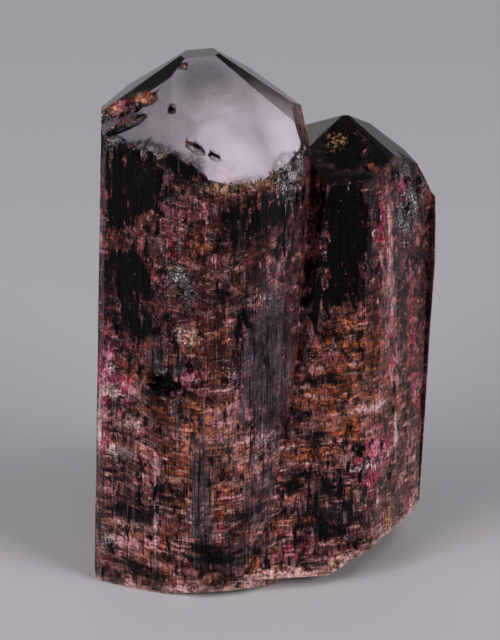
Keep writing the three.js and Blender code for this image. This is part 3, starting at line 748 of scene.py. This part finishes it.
    def along_bands(self, tree: bpy.types.NodeTree, place: bpy.types.NodeSocket) -> bpy.types.NodeSocket:
        """Places whose level lines follow the bands: down from the left, then up, then level."""
        parts = add_node(tree, "ShaderNodeSeparateXYZ", {0: place}).outputs
        away = add_node(tree, "ShaderNodeMath", {0: parts[0], 1: -BAND_MIDDLE}, operation="ADD").outputs[0]
        square = add_node(tree, "ShaderNodeMath", {0: away, 1: away}, operation="MULTIPLY").outputs[0]
        held = add_node(tree, "ShaderNodeMath", {0: square, 1: BAND_REACH ** 2}, operation="MINIMUM")
        level = add_node(
            tree,
            "ShaderNodeMath",
            {0: held.outputs[0], 1: -BAND_BEND, 2: parts[2]},
            operation="MULTIPLY_ADD",
        ).outputs[0]
        return add_node(tree, "ShaderNodeCombineXYZ", {0: parts[0], 1: parts[1], 2: level}).outputs[0]

    def grained(
        self,
        tree: bpy.types.NodeTree,
        colour: bpy.types.NodeSocket,
        places: Mapping[bool, bpy.types.NodeSocket],
        end: bpy.types.NodeSocket,
    ) -> bpy.types.NodeSocket:
        """The colour with the fine light and dark grain of veils and growth lines."""
        plain = colour
        for grain in self.grains:
            place = add_node(
                tree,
                "ShaderNodeMapping",
                {"Vector": places[grain.bent], "Scale": grain.size},
                vector_type="TEXTURE",
            ).outputs[0]
            noise = add_node(
                tree,
                "ShaderNodeTexNoise",
                {"Vector": place, "Scale": 1.0, "Detail": 2.0, "Roughness": GRAIN_BITE},
            ).outputs["Fac"]
            light = add_node(
                tree,
                "ShaderNodeMapRange",
                {
                    "Value": noise,
                    "From Min": GRAIN_RANGE[0],
                    "From Max": GRAIN_RANGE[1],
                    "To Min": grain.darkest,
                    "To Max": grain.lightest,
                },
            ).outputs["Result"]
            colour = add_node(
                tree, "ShaderNodeVectorMath", {0: colour, "Scale": light}, operation="SCALE"
            ).outputs[0]
        capped = add_node(
            tree, "ShaderNodeVectorMath", {0: colour, 1: (self.brightest,) * 3}, operation="MINIMUM"
        ).outputs[0]
        return add_node(tree, "ShaderNodeMix", {0: end, 6: capped, 7: plain}, data_type="RGBA").outputs[2]

    def mask_of(
        self, tree: bpy.types.NodeTree, stain: Stain, place: bpy.types.NodeSocket, number: int
    ) -> bpy.types.NodeSocket:
        """How strongly a stain covers each point."""
        own = add_node(
            tree,
            "ShaderNodeMapping",
            {
                "Vector": place,
                "Location": tuple(step * number for step in STAIN_STEP),
                "Scale": stain.size,
            },
            vector_type="TEXTURE",
        ).outputs[0]
        signal = add_node(
            tree,
            "ShaderNodeTexNoise",
            {
                "Vector": own,
                "Scale": 1.0,
                "Detail": stain.detail,
                "Roughness": STAIN_BITE,
                "Distortion": 0.3,
            },
        ).outputs["Fac"]
        if stain.carrier:
            weight = add_node(tree, "ShaderNodeAttribute", attribute_name=stain.carrier).outputs["Fac"]
            signal = add_node(
                tree, "ShaderNodeMath", {0: weight, 1: stain.reach, 2: signal}, operation="MULTIPLY_ADD"
            ).outputs[0]
        return add_node(
            tree,
            "ShaderNodeMapRange",
            {"Value": signal, "From Min": stain.low, "From Max": stain.high, "To Max": stain.cover},
            interpolation_type="SMOOTHSTEP",
        ).outputs["Result"]

    def cover(
        self, tree: bpy.types.NodeTree, stain: Stain, mask: bpy.types.NodeSocket, under: tuple[Any, Any, Any]
    ) -> tuple[bpy.types.NodeSocket, bpy.types.NodeSocket, bpy.types.NodeSocket]:
        """Lays a stain over the colour, clarity and roughness that are there so far."""
        tint = add_node(
            tree, "ShaderNodeMix", {0: mask, 6: under[0], 7: linear(stain.colour)}, data_type="RGBA"
        ).outputs[2]
        clarity = add_node(tree, "ShaderNodeMix", {0: mask, 2: under[1], 3: stain.clarity}).outputs[0]
        roughness = add_node(tree, "ShaderNodeMix", {0: mask, 2: under[2], 3: stain.roughness}).outputs[0]
        return tint, clarity, roughness

    def relief(
        self, tree: bpy.types.NodeTree, place: bpy.types.NodeSocket, end: bpy.types.NodeSocket
    ) -> bpy.types.NodeSocket:
        """The fine grooves of the walls and the faint grain of the end faces, as a bump."""
        grooves = add_node(tree, "ShaderNodeMapping", {"Vector": place, "Scale": (3.4, 3.4, 0.03)})
        lines = add_node(
            tree,
            "ShaderNodeTexNoise",
            {"Vector": grooves.outputs[0], "Scale": 1.0, "Detail": 4.0, "Roughness": 0.65},
        ).outputs["Fac"]
        specks = add_node(
            tree, "ShaderNodeTexNoise", {"Vector": place, "Scale": 1.7, "Detail": 6.0, "Roughness": 0.7}
        ).outputs["Fac"]
        faint = add_node(tree, "ShaderNodeMath", {0: specks, 1: 0.12}, operation="MULTIPLY").outputs[0]
        height = add_node(tree, "ShaderNodeMix", {0: end, 2: lines, 3: faint}).outputs[0]
        return add_node(
            tree, "ShaderNodeBump", {"Strength": 0.8, "Distance": 0.00015, "Height": height}
        ).outputs[0]


@dataclass(frozen=True)
class FloorFinish:
    """Matt painted board, pale and even, with a slight paper grain."""

    colour: str = "#c4c2c5"
    roughness: float = 0.6

    def build(self) -> bpy.types.Material:
        """Makes the material and its nodes."""
        material = bpy.data.materials.new("studio_board")
        material.use_nodes = True
        tree = material.node_tree
        tree.nodes.clear()
        place = add_node(tree, "ShaderNodeTexCoord").outputs["Object"]
        grain = add_node(tree, "ShaderNodeTexNoise", {"Vector": place, "Scale": 900.0, "Detail": 3.0})
        bump = add_node(
            tree, "ShaderNodeBump", {"Strength": 0.1, "Distance": 0.0002, "Height": grain.outputs["Fac"]}
        )
        shader = add_node(
            tree,
            "ShaderNodeBsdfPrincipled",
            {"Base Color": linear(self.colour), "Roughness": self.roughness, "Normal": bump.outputs[0]},
        )
        add_node(tree, "ShaderNodeOutputMaterial", {"Surface": shader.outputs[0]})
        return material


@dataclass(frozen=True)
class SkinRelief:
    """A geometry tree that presses growth grooves and etching into a piece along its normals.

    Widths and depths are millimetres. Grooves run upright where the skin carries "wall", and
    etching eats in where it carries "rough".
    """

    groove_width: float = 0.62
    groove_length: float = 26.0
    groove_depth: float = 0.09
    etch_width: float = 0.8
    etch_depth: float = 0.35
    seed: float = 4.0

    def inputs(self) -> dict[str, float]:
        """The tree's named inputs with their values."""
        return {
            "Groove Width": self.groove_width,
            "Groove Length": self.groove_length,
            "Groove Depth": self.groove_depth,
            "Etch Width": self.etch_width,
            "Etch Depth": self.etch_depth,
            "Seed": self.seed,
        }

    def build(self, material: bpy.types.Material) -> bpy.types.NodeTree:
        """Makes the tree, which ends with real geometry in one material."""
        tree = bpy.data.node_groups.new("skin_relief", "GeometryNodeTree")
        tree.interface.new_socket("Geometry", in_out="INPUT", socket_type="NodeSocketGeometry")
        for name in self.inputs():
            tree.interface.new_socket(name, in_out="INPUT", socket_type="NodeSocketFloat")
        tree.interface.new_socket("Geometry", in_out="OUTPUT", socket_type="NodeSocketGeometry")
        given = add_node(tree, "NodeGroupInput").outputs
        place = add_node(
            tree,
            "ShaderNodeVectorMath",
            {0: add_node(tree, "GeometryNodeInputPosition").outputs[0], 1: (1 / MM,) * 3},
            operation="MULTIPLY",
        ).outputs[0]
        grooves = add_node(
            tree,
            "ShaderNodeCombineXYZ",
            {0: given["Groove Width"], 1: given["Groove Width"], 2: given["Groove Length"]},
        ).outputs[0]
        depth = self.pressed(tree, place, grooves, given["Groove Depth"], given["Seed"], "wall")
        etched = add_node(
            tree, "ShaderNodeCombineXYZ", {i: given["Etch Width"] for i in range(3)}
        ).outputs[0]
        depth = add_node(
            tree,
            "ShaderNodeMath",
            {0: depth, 1: self.pressed(tree, place, etched, given["Etch Depth"], given["Seed"], "rough")},
        ).outputs[0]
        offset = add_node(
            tree,
            "ShaderNodeVectorMath",
            {0: add_node(tree, "GeometryNodeInputNormal").outputs[0], "Scale": depth},
            operation="SCALE",
        ).outputs[0]
        moved = add_node(tree, "GeometryNodeSetPosition", {"Geometry": given["Geometry"], "Offset": offset})
        real = add_node(tree, "GeometryNodeRealizeInstances", {"Geometry": moved.outputs[0]})
        dressed = add_node(
            tree, "GeometryNodeSetMaterial", {"Geometry": real.outputs[0], "Material": material}
        )
        add_node(tree, "NodeGroupOutput", {"Geometry": dressed.outputs[0]})
        return tree

    def pressed(
        self,
        tree: bpy.types.NodeTree,
        place: bpy.types.NodeSocket,
        size: bpy.types.NodeSocket,
        depth: bpy.types.NodeSocket,
        seed: bpy.types.NodeSocket,
        carrier: str,
    ) -> bpy.types.NodeSocket:
        """How far one kind of relief moves each point, in metres and never outwards."""
        scaled = add_node(tree, "ShaderNodeVectorMath", {0: place, 1: size}, operation="DIVIDE").outputs[0]
        noise = add_node(
            tree,
            "ShaderNodeTexNoise",
            {"Vector": scaled, "W": seed, "Scale": 1.0, "Detail": 2.0, "Roughness": 0.6},
            noise_dimensions="4D",
        ).outputs["Fac"]
        below = add_node(tree, "ShaderNodeMath", {0: noise, 1: 1.0}, operation="SUBTRACT").outputs[0]
        share = add_node(
            tree, "GeometryNodeInputNamedAttribute", {"Name": carrier}, data_type="FLOAT"
        ).outputs["Attribute"]
        carried = add_node(tree, "ShaderNodeMath", {0: below, 1: share}, operation="MULTIPLY").outputs[0]
        metres = add_node(tree, "ShaderNodeMath", {0: depth, 1: MM}, operation="MULTIPLY").outputs[0]
        return add_node(tree, "ShaderNodeMath", {0: carried, 1: metres}, operation="MULTIPLY").outputs[0]

    def apply(
        self, piece: bpy.types.Object, material: bpy.types.Material, box: tuple[Vector, Vector]
    ) -> None:
        """Runs the tree on a piece and keeps the result, inside a box, as its plain mesh."""
        tree = self.build(material)
        modifier = piece.modifiers.new("skin_relief", "NODES")
        modifier.node_group = tree
        values = self.inputs()
        for item in tree.interface.items_tree:
            if item.in_out == "INPUT" and item.name in values:
                modifier[item.identifier] = values[item.name]
        piece.update_tag()
        bpy.context.view_layer.update()
        seen = piece.evaluated_get(bpy.context.evaluated_depsgraph_get())
        mesh = bpy.data.meshes.new_from_object(seen)
        places = np.zeros(len(mesh.vertices) * 3, np.float32)
        mesh.vertices.foreach_get("co", places)
        low, high = (np.array(corner) for corner in box)
        mesh.vertices.foreach_set("co", np.clip(places.reshape(-1, 3), low, high).ravel())
        piece.modifiers.remove(modifier)
        piece.data = mesh


@dataclass
class CrystalPair:
    """The two crystals, one piece: a finer skin on the solid with its zones in attributes."""

    node: bpy.types.Object
    finish: TourmalineFinish = field(default_factory=TourmalineFinish)
    relief: SkinRelief = field(default_factory=SkinRelief)
    piece: bpy.types.Object | None = None

    def build(self) -> bpy.types.Object:
        """Cuts the skin finer and makes the piece's mesh."""
        skin = Skin.from_node(self.node)
        while skin.split():
            pass
        mesh = bpy.data.meshes.new("crystal_pair")
        mesh.from_pydata((skin.points * MM).tolist(), [], skin.faces.tolist())
        self.piece = bpy.data.objects.new("crystal_pair", mesh)
        bpy.context.scene.collection.objects.link(self.piece)
        normals = skin.point_normals()
        end = (normals[:, 2] > END_FACE_UP) & (skin.points[:, 2] > FACES_FROM)
        shown = np.zeros(len(skin.points))
        patches = PATCHES + hidden_patches(skin)
        for zone in Zone:
            total = np.zeros(len(skin.points))
            for patch in patches:
                if patch.zone is zone:
                    total = np.maximum(total, patch.weight(skin.points))
            # the painted highlight of the broad end face is kept to the end faces
            self.write(zone.value, total * end if zone is Zone.BLOOM else total)
            if zone in (Zone.RUST, Zone.TAN, Zone.PINK, Zone.CLEAR):
                shown = np.maximum(shown, total)
        self.write("end", end * (1 - np.clip(DULL_RATE * shown - DULL_FROM, 0, 1)))
        self.write("low", np.clip((LOW_FROM - skin.points[:, 2]) / LOW_FADE, 0, 1))
        self.write("rim", self.nearness(skin, skin.base_rim(), RIM_REACH))
        # edge holds where the painted highlight along sharp edges falls
        self.write("edge", self.nearness(skin, skin.sharp_points(), EDGE_REACH))
        upright = np.abs(normals[:, 2]) < END_FACE_UP
        self.write("wall", upright * (1 - self.nearness(skin, skin.base_rim(), BASE_REACH)))
        rough = sum(p.weight(skin.points) * p.strength for p in PATCHES if p.zone is Zone.FROST)
        self.write("rough", np.clip(rough, 0, 1))
        return self.piece

    def nearness(self, skin: Skin, spots: np.ndarray, reach: float) -> np.ndarray:
        """How near each point of the skin is to the nearest of some spots, from 0 to 1."""
        tree = KDTree(len(spots))
        for number, spot in enumerate(spots):
            tree.insert(spot, number)
        tree.balance()
        away = np.array([tree.find(point)[2] for point in skin.points])
        return np.clip(1 - away / reach, 0, 1)

    def write(self, name: str, values: np.ndarray) -> None:
        """Keeps one value for each point of the mesh under a name."""
        layer = self.piece.data.attributes.new(name, "FLOAT", "POINT")
        layer.data.foreach_set("value", values.astype(np.float32))

    def dress(self) -> None:
        """Gives the piece its relief, its finish and its place in the frame."""
        self.relief.apply(self.piece, self.finish.build(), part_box(NODE))
        self.piece.data.shade_smooth()
        self.piece.data.set_sharp_from_angle(angle=math.radians(SHARP_TURN))
        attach(self.piece, BODY)
        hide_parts(NODE)


@dataclass(frozen=True)
class Softbox:
    """A soft light: where it stands as seen from the crystals, and how bright its face is."""

    name: str
    direction: tuple[float, float, float]
    distance: float
    size: tuple[float, float]
    radiance: float
    colour: tuple[float, float, float] = (1.0, 0.98, 1.0)


@dataclass
class Studio:
    """A plain pale floor under plain soft light."""

    half_size: float = 2.0
    centre: tuple[float, float, float] = (0.0, 0.0, 0.035)
    finish: FloorFinish = field(default_factory=FloorFinish)
    ambient: float = 0.14
    softboxes: tuple[Softbox, ...] = (
        Softbox("key_light", (0.43, -0.27, 0.86), 0.9, (0.26, 0.26), 6.2, (0.95, 0.93, 1.0)),
        Softbox("fill_light", (-0.50, -0.24, 0.83), 0.9, (0.26, 0.26), 5.2, (0.95, 0.93, 1.0)),
        Softbox("left_light", (-0.62, -0.62, 0.48), 0.9, (0.40, 0.40), 7.2),
        Softbox("right_light", (0.72, -0.55, 0.42), 0.9, (0.40, 0.40), 7.2),
        Softbox("back_light", (-0.10, 0.89, 0.38), 1.0, (0.7, 0.2), 0.8),
    )

    def build(self) -> bpy.types.Object:
        """Makes the floor."""
        mesh = bpy.data.meshes.new("studio_floor")
        s = self.half_size
        mesh.from_pydata([(-s, -s, 0), (s, -s, 0), (s, s, 0), (-s, s, 0)], [], [(0, 1, 2, 3)])
        floor = bpy.data.objects.new("studio_floor", mesh)
        bpy.context.scene.collection.objects.link(floor)
        mesh.materials.append(self.finish.build())
        return floor

    def light(self) -> None:
        """Hangs the softboxes and sets the even light of the room."""
        for box in self.softboxes:
            lamp = bpy.data.lights.new(box.name, "AREA")
            lamp.shape = "RECTANGLE"
            lamp.size, lamp.size_y = box.size
            lamp.energy = box.radiance * math.pi * box.size[0] * box.size[1]
            lamp.color = box.colour
            holder = bpy.data.objects.new(box.name, lamp)
            way = Vector(box.direction).normalized()
            holder.location = Vector(self.centre) + way * box.distance
            holder.rotation_euler = way.to_track_quat("Z", "Y").to_euler()
            bpy.context.scene.collection.objects.link(holder)
        bpy.context.scene.view_settings.view_transform = "Standard"
        world = bpy.data.worlds.new("studio_air")
        world.use_nodes = True
        world.node_tree.nodes["Background"].inputs["Color"].default_value = (self.ambient,) * 3 + (1,)
        bpy.context.scene.world = world


@dataclass(frozen=True)
class ViewCamera:
    """A long lens in front of the crystals, looking down a little."""

    target: tuple[float, float, float] = (-1.82, -2.02, 32.87)
    elevation: float = 24.0
    distance: float = 600.0
    lens: float = 270.0

    def build(self) -> bpy.types.Object:
        """Makes the camera and sets it as the scene's own."""
        data = bpy.data.cameras.new("view_camera")
        data.lens = self.lens
        data.sensor_width = 36.0
        data.sensor_fit = "AUTO"
        camera = bpy.data.objects.new("view_camera", data)
        tilt = math.radians(self.elevation)
        back = Vector((0, -math.cos(tilt), math.sin(tilt)))
        camera.location = (Vector(self.target) + back * self.distance) * MM
        camera.rotation_euler = back.to_track_quat("Z", "Y").to_euler()
        bpy.context.scene.collection.objects.link(camera)
        bpy.context.scene.camera = camera
        return camera


def main() -> None:
    """Builds the crystals, the floor, the lights and the camera."""
    logging.basicConfig(level=logging.INFO, format="%(message)s")
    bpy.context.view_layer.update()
    crystals = CrystalPair(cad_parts[NODE])
    piece = crystals.build()
    crystals.dress()
    log.info("%s: %d triangles", piece.name, len(piece.data.polygons))
    studio = Studio()
    log.info("%s", studio.build().name)
    studio.light()
    log.info("%s", ViewCamera().build().name)


if __name__ == "__main__":
    main()
